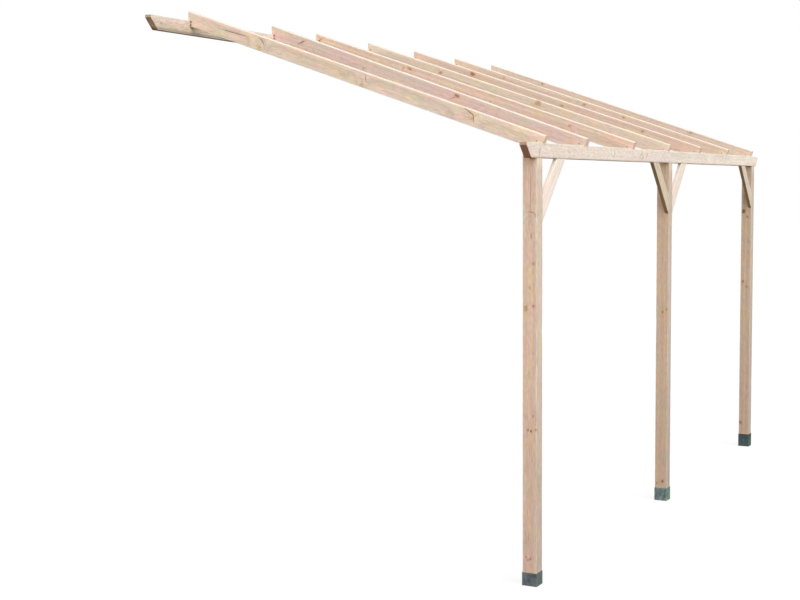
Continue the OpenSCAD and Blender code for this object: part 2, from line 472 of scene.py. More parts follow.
def softwood_group():
    """Planed softwood: year rings, fibres, blotches, painted light on the fronts, weather with painted shade
    and highlights, knots, and their relief.
    """
    graph, came, goes = new_group("softwood", WOOD_INPUTS, WOOD_OUTPUTS)
    seeded = graph.vector("ADD", came["Place"], came["Shift"])
    normal = graph.split(graph.add("ShaderNodeTexCoord").outputs["Normal"])
    front = graph.step(graph.times(normal[0], -1.0), *FRONT_EDGE)
    pink = patch(graph, seeded, "pink")
    green = patch(graph, seeded, "green")
    fibre = graph.noise(seeded, FIBRE_TURNS, USUAL, GRAIN_ROUGH)
    saw = graph.noise(graph.vector("ADD", seeded, SAW_FROM), SAW_TURNS, USUAL, GRAIN_ROUGH)
    saw = graph.times(graph.math("SUBTRACT", saw, 0.5), came["Speckle"])

    radius, wave, summer = year_rings(graph, came, seeded)
    colour = blotched_wood(graph, came, seeded, radius, wave, pink, green)
    colour, pale = paint_front_light(graph, came, seeded, colour, front, pink, green)
    dimmed = graph.math("SUBTRACT", SUMMER_SHARE, graph.times(pale, SUMMER_ON_LIT_FRONT))
    colour = graph.tint(graph.times(summer, dimmed), colour, SUMMER)
    light = graph.times(grain_light(graph, came, seeded, radius, fibre, saw), tone_light(graph, came, front))
    colour = weathered(graph, came, seeded, graph.vector("MULTIPLY", colour, light), normal)
    colour = graph.tint(came["Halo"], colour, HALO)
    colour = graph.mix(came["Heart"], colour, HEART)
    colour = graph.mix(came["Bark"], colour, BARK)

    rough = graph.math("ADD", graph.span(fibre, *WOOD_ROUGH), graph.times(summer, SUMMER_POLISH))
    rough = graph.math("ADD", rough, graph.times(came["Heart"], HEART_POLISH))
    height = graph.math("ADD", graph.times(summer, SUMMER_RELIEF), graph.times(fibre, FIBRE_RELIEF))
    height = graph.math("ADD", height, graph.times(saw, SAW_RELIEF))
    height = graph.math("SUBTRACT", height, graph.times(came["Bark"], BARK_RELIEF))
    graph.put(goes["Colour"], colour)
    graph.put(goes["Roughness"], rough)
    graph.put(goes["Height"], height)
    return graph.tree


KNOT_TREE = knot_group()
SOFTWOOD_TREE = softwood_group()

# Wood of each kind: pith in the cross-section, ring width, colours, and the strength of each effect it has.
# The colour for faces that look down is painted shade.
WOOD = {
    # The fronts' strength paints light onto them, making them paler
    "post": dict(
        pith=(0.0, 0.030), ring=3.6 * MM, heartwood=(0.735, 0.545, 0.425), sapwood=(0.715, 0.605, 0.500),
        sap_from=0.041, blush=0.7, moss=0.40, bleach=0.08, speckle=0.55, soil=0.15,
        end=(0.86, 0.74, 0.66), under=(0.74, 0.58, 0.42),
    ),
    # For the beam and the ledger, the lower-edge strength paints shade along the lower edge
    "beam": dict(
        pith=(0.070, 0.012), ring=3.2 * MM, heartwood=(0.80, 0.66, 0.53), sapwood=(0.82, 0.70, 0.57),
        sap_from=0.080, blush=0.6, moss=0.5, bleach=0.92, speckle=0.65, arris=0.40, damp=0.55,
        end=(0.64, 0.49, 0.48), under=(0.78, 0.60, 0.47),
    ),
    "ledger": dict(
        pith=(0.060, -0.020), ring=3.4 * MM, heartwood=(0.74, 0.615, 0.505), sapwood=(0.75, 0.655, 0.545),
        sap_from=0.070, blush=0.8, moss=0.6, bleach=0.25, speckle=0.80, arris=0.30, damp=1.0,
        end=(0.74, 0.60, 0.55), under=(0.74, 0.66, 0.56),
    ),
    "rafter": dict(
        pith=(0.055, 0.020), ring=3.4 * MM, heartwood=(0.785, 0.605, 0.490), sapwood=(0.785, 0.640, 0.525),
        sap_from=0.068, blush=0.9, moss=0.75, speckle=0.50, arris=0.75,
        # On the rafters the end colour is painted light: it makes the ends lighter, where less light falls on
        # them
        end=(1.10, 1.06, 1.02), under=(0.95, 0.86, 0.76),
    ),
    "brace": dict(
        pith=(0.048, 0.015), ring=3.0 * MM, heartwood=(0.86, 0.75, 0.64), sapwood=(0.87, 0.78, 0.67),
        sap_from=0.060, blush=0.5, moss=0.2, bleach=0.95, speckle=0.30, arris=0.45,
        end=(0.90, 0.80, 0.72), under=(0.46, 0.38, 0.24),
    ),
}
# Timbers whose wood differs from the rest of their kind
OWN_WOOD = {
    "post_2": dict(tone=0.845, soil=0.12, bleach=0.30, heartwood=(0.73, 0.55, 0.405)),
    "post_3": dict(tone=0.765, soil=0.08, bleach=0.40, heartwood=(0.725, 0.555, 0.415)),
    "eaves_beam_left": dict(blush=0.4, moss=0.3),
    "eaves_beam_right": dict(blush=0.2, moss=0.8, tone=0.955),
    "rafter_2": dict(blush=1.3, moss=0.3, heartwood=(0.77, 0.61, 0.53), sapwood=(0.77, 0.645, 0.565)),
    "rafter_3": dict(tone=0.97),
    "rafter_4": dict(blush=0.5, moss=1.0, tone=0.97),
    "rafter_5": dict(tone=0.95),
    "rafter_6": dict(blush=0.4, moss=0.8, tone=0.95),
    "rafter_7": dict(tone=0.93),
    "brace_2_left": dict(tone=0.93, bleach=0.1, heartwood=(0.80, 0.67, 0.49), sapwood=(0.79, 0.68, 0.51)),
    "brace_3_left": dict(tone=0.88, bleach=0.3, heartwood=(0.80, 0.69, 0.57), sapwood=(0.80, 0.70, 0.58)),
}
# How far the grain's noise and the pith may be shifted from one timber to the next
GRAIN_SHIFT = 20
PITH_SHIFT = 8 * MM


def all_knots(graph, place, knots):
    """What the knots of one timber add up to: (push on the rings, heart, bark, tinted wood)."""
    push = heart = bark = halo = 0.0
    for knot in knots:
        out = use_group(
            graph, KNOT_TREE, place=place, centre=knot["centre"], axis=knot["axis"], radius=knot["radius"],
            reach=knot["reach"], shake=math.copysign(1.0, knot["shake"]),
        )
        push = graph.math("ADD", push, out["Push"])
        heart = graph.math("MAXIMUM", heart, graph.times(out["Heart"], knot["heart"]))
        if knot["shake"]:
            heart = graph.math("MAXIMUM", heart, graph.times(out["Arc"], abs(knot["shake"])))
        bark = graph.math("MAXIMUM", bark, graph.times(out["Bark"], knot["bark"]))
        halo = graph.math("MAXIMUM", halo, graph.times(out["Halo"], knot["heart"]))
    return push, heart, bark, halo


def timber_material(node, kind, size, knots, rng):
    """Softwood of its own for one timber, with its own run of grain and its knots."""
    wood = dict(WOOD[kind], tone=1.0)
    wood.update(OWN_WOOD.get(node, {}))
    for colour in ("heartwood", "sapwood", "end", "under"):
        wood[colour] = (*wood[colour], 1)
    material, graph, shader = new_material(node + "_wood")
    place = graph.add("ShaderNodeTexCoord").outputs["Object"]
    shift = [rng.uniform(-GRAIN_SHIFT, GRAIN_SHIFT) for _ in range(3)]
    side = 1.0 if kind == "post" or rng.random() < 0.5 else -1.0
    pith_x, pith_y = wood.pop("pith")
    pith = (side * pith_x, pith_y + rng.uniform(-PITH_SHIFT, PITH_SHIFT), 0.0)
    push, heart, bark, halo = all_knots(graph, place, knots)
    out = use_group(
        graph, SOFTWOOD_TREE, place=place, shift=shift, pith=pith, half=size / 2,
        push=push, heart=heart, bark=bark, halo=halo, **wood,
    )
    graph.put(shader.inputs["Base Color"], out["Colour"])
    graph.put(shader.inputs["Roughness"], out["Roughness"])
    graph.bump(shader, out["Height"], WOOD_BUMP, WOOD_BUMP_DEPTH)
    shader.inputs["Specular IOR Level"].default_value = WOOD_GLOSS
    return material


# Painted shade: the inside of a crack is dark
CRACK_PAINTED_SHADE = (0.17, 0.105, 0.065, 1)
CRACK_DUSTY = (0.36, 0.24, 0.16, 1)
CRACK_TURNS = (300, 300, 40)
CRACK_ROUGH = (0.8, 0.95)
CRACK_GLOSS = 0.1


def crack_material():
    """Painted shade inside a crack: dark wood with lighter dusty flecks."""
    material, graph, shader = new_material("crack")
    place = graph.add("ShaderNodeTexCoord").outputs["Object"]
    dust = graph.noise(place, CRACK_TURNS, FINE, GRAIN_ROUGH)
    graph.put(shader.inputs["Base Color"], graph.mix(dust, CRACK_PAINTED_SHADE, CRACK_DUSTY))
    graph.put(shader.inputs["Roughness"], graph.span(dust, *CRACK_ROUGH))
    shader.inputs["Specular IOR Level"].default_value = CRACK_GLOSS
    return material


CRACK = crack_material()


# Timber shapes

ARRIS = {"post": 3 * MM, "beam": 4 * MM, "ledger": 4 * MM, "rafter": 4 * MM, "brace": 3 * MM}
ARRIS_STEPS = 3
# An edge runs along the grain from this cosine, and is sharp from this angle
ALONG_GRAIN = 0.98
SHARP_EDGE = 0.8
SLICE = 80 * MM
SLICE_SNAP = 0.001 * MM
# A timber's length is counted upward, or else backward, or else to the right
ONWARD = Vector((1, 2, 4))
# Waves on the faces and dents in the arrises: turns to a metre, depth, and where the second axis is read
SURFACE_WAVE_TURNS = 5.0
SURFACE_WAVE_APART = 7
SURFACE_WAVE = 0.25 * MM
DENT_TURNS = 9.0
DENT_FROM = 0.25
DENT_DEPTH = 2.5 * MM
DENT_REACH = 1.05
WEAR_SHIFT = 50
# Cracks: how far the cutter stands out of the face, and how it tapers
CRACK_LIFT = 1 * MM
CRACK_TIP = 0.15
CRACK_TAPER = 0.6
# Which end of each beam is the square one, as a share of its length, and how far its edges are broken
SEAM_END = {"eaves_beam_left": 1, "eaves_beam_right": 0}
SEAM_EASE = 3.5 * MM
# Points closer than this are one point, and faces closer in angle than this are one face
WELD = 0.01 * MM
FLAT = math.radians(1)
# Edges sharper than this stay sharp in the shading
TIMBER_CREASE = math.radians(40)
STEEL_CREASE = math.radians(35)


def cad_mesh(node):
    """A CAD node's shape with one face to each flat."""
    bm = bmesh.new()
    bm.from_mesh(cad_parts[node].data)
    bmesh.ops.remove_doubles(bm, verts=bm.verts, dist=WELD)
    bmesh.ops.dissolve_limit(bm, angle_limit=FLAT, verts=bm.verts, edges=bm.edges)
    return bm


def timber_axes(bm, kind):
    """Frame of a timber, with z along the grain from its foot or left end, and its size in that frame."""
    edge = max(bm.edges, key=lambda e: e.calc_length())
    along = (edge.verts[1].co - edge.verts[0].co).normalized()
    if along.dot(ONWARD) < 0:
        along.negate()
    across = along.cross(UP).normalized() if kind == "rafter" else BACK
    turn = Matrix((across, along.cross(across), along)).transposed()
    places = [turn.transposed() @ v.co for v in bm.verts]
    low = Vector([min(p[i] for p in places) for i in range(3)])
    high = Vector([max(p[i] for p in places) for i in range(3)])
    start = Vector(((low.x + high.x) / 2, (low.y + high.y) / 2, low.z))
    return Matrix.Translation(turn @ start) @ turn.to_4x4(), high - low


def runs_upright(edge):
    return abs((edge.verts[1].co - edge.verts[0].co).normalized().z) > ALONG_GRAIN


def round_edges(bm, edges, radius, steps, clamp=True):
    bmesh.ops.bevel(
        bm, geom=edges, offset=radius, segments=steps, profile=0.5, affect="EDGES", clamp_overlap=clamp,
    )


def ease_arrises(bm, radius):
    """Rounds the long outer edges, as a planer does."""
    edges = []
    for edge in bm.edges:
        if edge.is_manifold and edge.is_convex and runs_upright(edge) and edge.calc_face_angle() > SHARP_EDGE:
            edges.append(edge)
    round_edges(bm, edges, radius, ARRIS_STEPS)


def ease_seam(bm, level):
    """Breaks the edges of a beam's square end, where it butts against the other beam."""
    edges = [e for e in bm.edges if all(abs(v.co.z - level) < WELD for v in e.verts)]
    round_edges(bm, edges, SEAM_EASE, 1, clamp=False)


def slice_along(bm, length):
    for index in range(1, int(length / SLICE)):
        geom = bm.verts[:] + bm.edges[:] + bm.faces[:]
        bmesh.ops.bisect_plane(bm, geom=geom, dist=SLICE_SNAP, plane_co=(0, 0, index * SLICE), plane_no=UP)


def wear(bm, size, radius, shift):
    """Slight waves on the faces and dents along the arrises."""
    half = size / 2
    for vert in bm.verts:
        spot = vert.co + shift
        inset = max(half.x - abs(vert.co.x), half.y - abs(vert.co.y))
        dent = 0.0
        if inset < DENT_REACH * radius:
            dent = max(0.0, noise.noise(spot * DENT_TURNS) - DENT_FROM) * DENT_DEPTH
        for axis in (0, 1):
            inward = -math.copysign(1.0, vert.co[axis])
            read_at = spot * SURFACE_WAVE_TURNS + Vector((axis * SURFACE_WAVE_APART, 0, 0))
            vert.co[axis] += inward * dent + noise.noise(read_at) * SURFACE_WAVE


def new_piece(name, bm, material, place=None):
    mesh = bpy.data.meshes.new(name)
    bm.to_mesh(mesh)
    bm.free()
    piece = bpy.data.objects.new(name, mesh)
    scene.collection.objects.link(piece)
    if place is not None:
        piece.matrix_world = place
    mesh.materials.append(material)
    return piece


def shade(piece, crease):
    """Smooth faces with sharp edges, and flats that stay flat."""
    piece.data.shade_smooth()
    piece.data.set_sharp_from_angle(angle=crease)
    weighted = piece.modifiers.new("flat_faces", "WEIGHTED_NORMAL")
    weighted.keep_sharp = True


def crack_cutter(points, normal, width, depth):
    """A wedge that follows the points on a face, and tapers to nothing at both ends."""
    bm = bmesh.new()
    rings = []
    last = len(points) - 1
    for index, point in enumerate(points):
        ahead = points[min(index + 1, last)] - points[max(index - 1, 0)]
        swell = max(CRACK_TIP, math.sin(math.pi * index / last) ** CRACK_TAPER)
        half = normal.cross(ahead).normalized() * width * swell / 2
        rim = point + normal * CRACK_LIFT
        ring = (rim + half, rim - half, point - normal * depth * swell)
        rings.append([bm.verts.new(co) for co in ring])
    for first, second in zip(rings, rings[1:]):
        for i in range(3):
            j = (i + 1) % 3
            bm.faces.new((first[i], first[j], second[j], second[i]))
    bm.faces.new(rings[0])
    bm.faces.new(rings[-1])
    bmesh.ops.recalc_face_normals(bm, faces=bm.faces)
    return bm


def cut_crack(piece, points, normal, width, depth):
    """Cuts a crack into a piece."""
    cutter = new_piece("cutter", crack_cutter(points, normal, width, depth), CRACK, piece.matrix_world)
    cut = piece.modifiers.new("crack", "BOOLEAN")
    cut.operation = "DIFFERENCE"
    cut.solver = "EXACT"
    cut.material_mode = "TRANSFER"
    cut.object = cutter
    bpy.context.view_layer.update()
    evaluated = piece.evaluated_get(bpy.context.evaluated_depsgraph_get())
    piece.data = bpy.data.meshes.new_from_object(evaluated)
    piece.modifiers.clear()
    bpy.data.objects.remove(cutter)


def curve_through(points, parts=5):
    """Points on a smooth curve through the given ones."""
    ends = [points[0] * 2 - points[1]] + points + [points[-1] * 2 - points[-2]]
    curve = []
    for a, b, c, d in zip(ends, ends[1:], ends[2:], ends[3:]):
        for k in range(parts):
            t = k / parts
            bend = (2 * a - 5 * b + 4 * c - d) * t * t + (3 * b - a - 3 * c + d) * t ** 3
            curve.append(b + ((c - a) * t + bend) / 2)
    return curve + [points[-1]]


# Marks on the timbers

ROOF_SLOPE = math.tan(math.radians(19.1))
# A thinner knot than this is a pin knot, and ends inside the timber
PIN_RADIUS = 7 * MM
PIN_REACH = 40 * MM
THROUGH_REACH = 130 * MM


def on_rafter(size, along, below):
    """Point on a rafter's near side, so far below its top edge, and along it to plumb above the point."""
    return Vector((-size.x / 2, below * MM - size.y / 2, (along - below * ROOF_SLOPE) * MM))


def on_post(size, height, inward):
    """Point on a post's outer side, from millimetres up it and inward from its front."""
    return Vector((inward * MM - size.x / 2, size.y / 2, height * MM))


def on_board(size, along, below):
    """Point on the front of the beam or the ledger, from millimetres along it and below its top."""
    return Vector((-size.x / 2, size.y / 2 - below * MM, along * MM))


# For each kind: where a mark lies on its marked face, which way that face looks, and which way is across
BOARD_FRONT = (on_board, Vector((-1, 0, 0)), Vector((0, -1, 0)))
FACE = {
    "rafter": (on_rafter, Vector((-1, 0, 0)), Vector((0, 1, 0))),
    "post": (on_post, Vector((0, 1, 0)), Vector((1, 0, 0))),
    "beam": BOARD_FRONT,
    "ledger": BOARD_FRONT,
}

# Knots seen in the photograph: along, across and radius in millimetres, how dark the heart and the bark are,
# how far the branch leans along and across, and for one how dark a stained arc is, far (+) or near (-)
KNOTS = {
    "rafter_1": [
        (2112, 52, 37, 0.12, 0.0, 0, 0, -0.25), (2108, 74, 12, 0.40, 0.2, 0.8, 0),
        (1300, 50, 26, 0.12, 0.0, 0, 0), (1310, 82, 13, 0.42, 0.2, 1.0, 0), (1442, 52, 15, 0.20, 0.0, 0.8, 0),
        (535, 56, 40, 0.12, 0.0, 0, 0), (504, 50, 10, 0.45, 0.0, 0, 0), (482, 27, 6, 0.35, 0.0, 0.5, 0),
        (2680, 66, 9, 0.60, 0.3, 0, 0), (2679, 85, 9, 0.60, 0.3, 0, 0),
    ],
    "rafter_2": [
        (2427, 43, 5, 0.80, 0.5, -5.2, -3.7), (1029, 24, 12, 0.85, 0.6, 0.9, 0),
        (1059, 44, 5, 0.45, 0.2, 4.4, 3.0), (1846, 67, 8, 0.30, 0.2, 1, 0),
        (2694, 62, 8, 0.55, 0.3, 0, 0), (2695, 83, 8, 0.50, 0.3, 0, 0),
    ],
    "rafter_3": [
        (1846, 22, 11, 0.70, 0.4, 1.5, -0.4), (505, 40, 10, 0.50, 0.4, 0, 0),
        (1905, 40, 6, 0.40, 0.3, 0.5, 2), (1152, 58, 8, 0.35, 0.2, 0.6, 0), (2660, 36, 13, 0.40, 0.3, 0.3, 0),
    ],
    "rafter_4": [(2004, 42, 12, 0.70, 0.5, 0.7, 0), (1118, 24, 20, 0.55, 0.3, 0.7, 0)],
    "rafter_5": [
        (2107, 27, 15, 0.95, 0.7, 0.8, 0.2), (1249, 40, 11, 0.55, 0.4, 0.4, 0),
        (511, 29, 10, 0.55, 0.4, 0, 0),
    ],
    "rafter_6": [
        (2181, 30, 11, 0.35, 0.2, 0.4, 0), (1359, 26, 11, 0.55, 0.4, 0.6, 0), (978, 25, 10, 0.50, 0.4, 0, 0),
    ],
    "rafter_7": [(2132, 20, 11, 0.55, 0.4, 0.4, 0), (598, 20, 11, 0.55, 0.4, 0.6, 0)],
    "post_1": [
        (2192, 40, 34, 0.16, 0.0, 0, 0), (1931, 21, 8, 0.45, 0.3, 0.3, 0), (1789, 43, 8, 0.40, 0.3, 0.6, 0),
        (163, 38, 5, 0.85, 0.9, 0.5, 0), (170, 66, 4, 0.70, 0.7, 0, 0), (156, 54, 4, 0.60, 0.5, 0, 0),
        (1668, 69, 13, 0.50, 0.6, 0.3, 0), (1683, 21, 6, 0.95, 0.7, 0, 0), (1400, 21, 7, 0.35, 0.2, 0.4, 0),
        (941, 55, 5, 0.95, 0.8, 0, 0), (935, 36, 6, 0.95, 0.8, 0, 0), (946, 6, 6, 0.60, 0.4, 0.5, 0),
        (1027, 21, 7, 0.50, 0.3, 0.8, 0), (1008, 5, 5, 0.40, 0.0, 10, 0),
    ],
    "post_2": [
        (146, 30, 9, 0.95, 0.9, 0.3, 0), (146, 30, 5, 1.00, 1.0, 0.3, 0), (128, 74, 6, 0.70, 0.5, 0, 0),
        (1436, 41, 7, 0.85, 0.7, 0.2, 0), (1457, 9, 6, 0.90, 0.7, 0, 0),
    ],
    "post_3": [
        (2147, 70, 15, 1.00, 1.0, 0.2, 0), (2147, 70, 9, 1.00, 1.0, 0.2, 0), (2096, 34, 7, 0.90, 0.8, 0, 0),
        (216, 74, 10, 1.00, 0.9, 0, 0), (1512, 68, 9, 1.00, 0.9, 0, 0), (1464, 33, 7, 0.85, 0.6, 0.3, 0),
    ],
    "eaves_beam_left": [
        (688, 46, 8, 0.35, 0.2, 2.2, 0), (203, 50, 8, 0.30, 0.0, -2.2, 4.7),
        (2105, 38, 6, 0.20, 0.0, 5.5, -2.0), (2138, 55, 6, 0.20, 0.0, 5.5, -2.9),
        (2229, 45, 6, 0.20, 0.0, 5.5, -4.3), (1534, 38, 7, 0.30, 0.0, 0.8, 1.6),
    ],
    "eaves_beam_right": [
        (1420, 52, 8, 0.45, 0.3, 0.6, 0), (960, 42, 7, 0.40, 0.3, 0.8, 0), (1219, 76, 7, 0.40, 0.2, 0.8, 0),
        (1477, 18, 11, 0.50, 0.3, 0.3, 2.0), (1230, 40, 9, 0.25, 0.0, 0, 2.5),
        (2010, 24, 9, 0.25, 0.0, 0, 1.5),
    ],
    "ledger": [(390, 60, 9, 0.35, 0.2, 0.6, 0)],
}

# Drying cracks and cracks round knots: width, depth and the points that they follow, in millimetres
CRACKS = {
    "post_1": [
        (2.4, 16, [(2478, 41), (2400, 39), (2320, 41), (2195, 40)]),
        (4.0, 8, [(2231, 68), (2237, 52), (2236, 38), (2231, 21), (2215, 9), (2197, 5)]),
        (4.5, 8, [(2114, 37), (2095, 36), (2074, 36)]),
    ],
    "rafter_1": [
        (4.4, 10, [(2449, 44), (2345, 40), (2260, 36), (2195, 31)]),
        (5.5, 8, [(2118, 11), (2097, 20), (2082, 32), (2073, 44), (2066, 60)]),
        (5.0, 7, [(1276, 14), (1277, 38), (1268, 57)]),
        (6.5, 8, [(565, 4), (547, 8), (519, 19), (502, 24), (494, 37), (494, 54), (492, 72)]),
    ],
    "eaves_beam_left": [
        (3.0, 7, [(197, 30), (190, 48), (195, 62), (189, 76), (192, 86)]),
        (3.6, 4, [(2065, 53), (2103, 40), (2148, 23)]),
        (3.6, 4, [(2108, 70), (2136, 57), (2168, 39)]),
        (4.2, 4, [(2198, 68), (2230, 46), (2260, 20)]),
        (2.6, 4, [(1526, 26), (1533, 38), (1541, 50)]),
    ],
}


def knots_of(node, kind, size):
    """The knots of one timber, each with its place, its axis and its strengths."""
    knots = []
    for along, across, radius, heart, bark, lean_along, lean_across, *shake in KNOTS.get(node, ()):
        spot, outward, across_way = FACE[kind]
        knots.append(dict(
            centre=spot(size, along, across),
            axis=(outward + UP * lean_along + across_way * lean_across).normalized(),
            radius=radius * MM, heart=heart, bark=bark, shake=shake[0] if shake else 0,
            reach=PIN_REACH if radius * MM < PIN_RADIUS else THROUGH_REACH,
        ))
    return knots


def make_timber(node, kind, rng):
    """The dressed timber that stands for one CAD node: (its frame, its size)."""
    bm = cad_mesh(node)
    place, size = timber_axes(bm, kind)
    bm.transform(place.inverted())
    bm.normal_update()
    ease_arrises(bm, ARRIS[kind])
    if node in SEAM_END:
        ease_seam(bm, SEAM_END[node] * size.z)
    slice_along(bm, size.z)
    wear(bm, size, ARRIS[kind], Vector([rng.uniform(-WEAR_SHIFT, WEAR_SHIFT) for _ in range(3)]))
    material = timber_material(node, kind, size, knots_of(node, kind, size), rng)
    piece = new_piece(node + "_timber", bm, material, place)
    for width, depth, points in CRACKS.get(node, ()):
        spot, outward, _ = FACE[kind]
        path = curve_through([spot(size, along, across) for along, across in points])
        cut_crack(piece, path, outward, width * MM, depth * MM)
    shade(piece, TIMBER_CREASE)
    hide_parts(node)
    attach(piece, BODY)
    return place, size


# Steel

# Painted reflection: the fronts of the steel are tinted green
PAINTED_GREEN_REFLECTION = (0.97, 1.28, 1.0, 1)
RUST = (0.16, 0.075, 0.035, 1)
BARE_STEEL = (0.26, 0.28, 0.28, 1)
BARE_SHARE = 0.35
BARE_EDGE = (0.52, 0.60)
# Blotches, slanting smears, fine speckle and rust: turns to a metre, and how much they lighten and darken
BLOTCH_TURNS = (34, 34, 30)
BLOTCH_EDGE = (0.30, 0.70)
BLOTCH_SHADE = (0.45, 1.5)
SMEAR_SLANT = (0.55, 0.55, 0.65)
SMEAR_WAVER = (0.2, 0.2, 0.2)
SMEAR_TURNS = (90, 90, 90)
SMEAR_SHADE = (0.55, 1.45)
SPECKLE_TURNS = (420, 420, 420)
SPECKLE_SHADE = (0.8, 1.2)
RUST_FROM = (4, 1, 2)
RUST_TURNS = (26, 26, 26)
RUST_ROUGH = 0.65
RUST_EDGE = (0.56, 0.70)
STEEL_ROUGH = (0.48, 0.72)
STEEL_BUMP = 0.4
STEEL_BUMP_DEPTH = 0.3 * MM
STEEL_GLOSS = 0.12


def steel_light(graph, place, blotch, fine):
    """How much blotches, slanting smears and speckle lighten or darken the steel."""
    slant = graph.spread(graph.vector("DOT_PRODUCT", place, SMEAR_SLANT))
    slant = graph.vector("ADD", slant, graph.vector("MULTIPLY", place, SMEAR_WAVER))
    smear = graph.noise(slant, SMEAR_TURNS, FINE, GRAIN_ROUGH)
    blotched = graph.span(graph.step(blotch, *BLOTCH_EDGE), *BLOTCH_SHADE)
    return graph.times(blotched, graph.span(smear, *SMEAR_SHADE), graph.span(fine, *SPECKLE_SHADE))


def steel_material(name, base, rust, metal=0.0, gloss=STEEL_GLOSS):
    """Dull coated steel: light and dark smears, fronts tinted green as a painted reflection, bare steel
    showing at the edges, and some rust.
    """
    material, graph, shader = new_material(name)
    coordinates = graph.add("ShaderNodeTexCoord")
    place = coordinates.outputs["Object"]
    normal = graph.split(coordinates.outputs["Normal"])
    blotch = graph.noise(place, BLOTCH_TURNS, FINE, GRAIN_ROUGH)
    fine = graph.noise(place, SPECKLE_TURNS, USUAL, GRAIN_ROUGH)
    colour = graph.vector("MULTIPLY", base, steel_light(graph, place, blotch, fine))
    # Painted reflection: faces that look to the front are tinted green
    front = graph.step(graph.times(normal[1], -1.0), *FRONT_EDGE)
    colour = graph.tint(front, colour, PAINTED_GREEN_REFLECTION)
    edge = graph.step(graph.add("ShaderNodeNewGeometry").outputs["Pointiness"], *BARE_EDGE)
    colour = graph.mix(graph.times(edge, BARE_SHARE), colour, BARE_STEEL)
    brown = graph.noise(graph.vector("ADD", place, RUST_FROM), RUST_TURNS, FINEST, RUST_ROUGH)
    colour = graph.mix(graph.times(graph.step(brown, *RUST_EDGE), rust), colour, RUST)
    graph.put(shader.inputs["Base Color"], colour)
    graph.put(shader.inputs["Roughness"], graph.span(blotch, *STEEL_ROUGH))
    graph.bump(shader, graph.math("ADD", fine, blotch), STEEL_BUMP, STEEL_BUMP_DEPTH)
    shader.inputs["Metallic"].default_value = metal
    shader.inputs["Specular IOR Level"].default_value = gloss
    return material


SHOE_CORNER = 6 * MM
SHOE_CORNER_STEPS = 5
SHOE_RIM = 0.8 * MM
SHOE_RIM_STEPS = 2


def make_shoe(node, material):
    """Shoe bent from sheet: round outer upright corners, and a broken edge along the rim."""
    bm = cad_mesh(node)
    bm.normal_update()
    corners = [e for e in bm.edges if runs_upright(e) and e.is_convex]
    round_edges(bm, corners, SHOE_CORNER, SHOE_CORNER_STEPS)
    top = max(v.co.z for v in bm.verts)
    rim = [e for e in bm.edges if min(v.co.z for v in e.verts) > top - WELD and e.is_convex]
    round_edges(bm, rim, SHOE_RIM, SHOE_RIM_STEPS)
    piece = new_piece(node + "_steel", bm, material)
    shade(piece, STEEL_CREASE)
    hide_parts(node)
    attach(piece, BODY)


# Screws

SCREW_RADIUS = 5 * MM
FOOT_SCREW_RADIUS = 4 * MM
# Pan head from shank to bottom of the recess: share of the radius, height in millimetres, lobed or round
SCREW_HEAD = [
    (1.0, -1.5, False), (1.0, 0.5, False), (0.93, 1.1, False), (0.7, 1.6, False),
    (0.46, 1.7, True), (0.42, 0.5, True),
]
SCREW_LOBES = 6
LOBE_DEPTH = 0.16
ROUND_SIDES = 24
# Coach screw: radius and height in millimetres
WASHER = [(10, -1), (10, 1.2), (9.4, 1.7), (5, 1.8)]
HEXAGON = [(7.4, 1.2), (7.5, 5.4), (6.6, 6.4), (2, 6.5)]
HEXAGON_SIDES = 6


def turned(bm, place, outward, profile, sides):
    """Adds a form turned about the outward axis, from rings of (radius, height, lobed or round)."""
    turn = outward.to_track_quat("Z", "Y").to_matrix()
    rings = []
    for radius, height, lobed in profile:
        ring = []
        for k in range(sides):
            angle = 2 * math.pi * k / sides
            reach = radius * (1 + LOBE_DEPTH * math.cos(SCREW_LOBES * angle)) if lobed else radius
            spot = Vector((reach * math.cos(angle), reach * math.sin(angle), height))
            ring.append(bm.verts.new(place + turn @ spot))
        rings.append(ring)
    for first, second in zip(rings, rings[1:]):
        for k in range(sides):
            n = (k + 1) % sides
            bm.faces.new((first[k], first[n], second[n], second[k]))
    bm.faces.new(rings[0][::-1])
    bm.faces.new(rings[-1])


def add_screw(bm, place, outward, radius=SCREW_RADIUS):
    """Pan head with a six-lobed recess."""
    profile = [(share * radius, height * MM, lobed) for share, height, lobed in SCREW_HEAD]
    turned(bm, place, outward, profile, ROUND_SIDES)


def add_foot_screw(bm, place, outward):
    add_screw(bm, place, outward, FOOT_SCREW_RADIUS)


def add_coach_screw(bm, place, outward):
    """Washer and hexagon head."""
    for form, sides in ((WASHER, ROUND_SIDES), (HEXAGON, HEXAGON_SIDES)):
        turned(bm, place, outward, [(radius * MM, height * MM, False) for radius, height in form], sides)


def make_fixings(name, material, spots, add):
    """All screws of one sort as one piece."""
    bm = bmesh.new()
    for place, outward in spots:
        add(bm, place, outward.normalized())
    bmesh.ops.recalc_face_normals(bm, faces=bm.faces)
    piece = new_piece(name, bm, material)
    shade(piece, STEEL_CREASE)
    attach(piece, BODY)


# The frame

POSTS = [f"post_{i}" for i in range(1, 4)]
BEAMS = ["eaves_beam_left", "eaves_beam_right"]
RAFTERS = [f"rafter_{i}" for i in range(1, 8)]
BRACES = ["brace_1_right", "brace_2_left", "brace_2_right", "brace_3_left"]
# Timbers in the order in which they are made: nodes, kind, slot
TIMBERS = [
    (POSTS, "post", "timber"),
    (BEAMS, "beam", "pale_timber"),
    (["ledger"], "ledger", "timber"),
    (RAFTERS, "rafter", "timber"),
    (BRACES, "brace", "timber"),
]
rng = random.Random(SEED)
made = {}
for nodes, kind, slot in TIMBERS:
    for node in nodes:
        made[node] = make_timber(node, kind, rng)

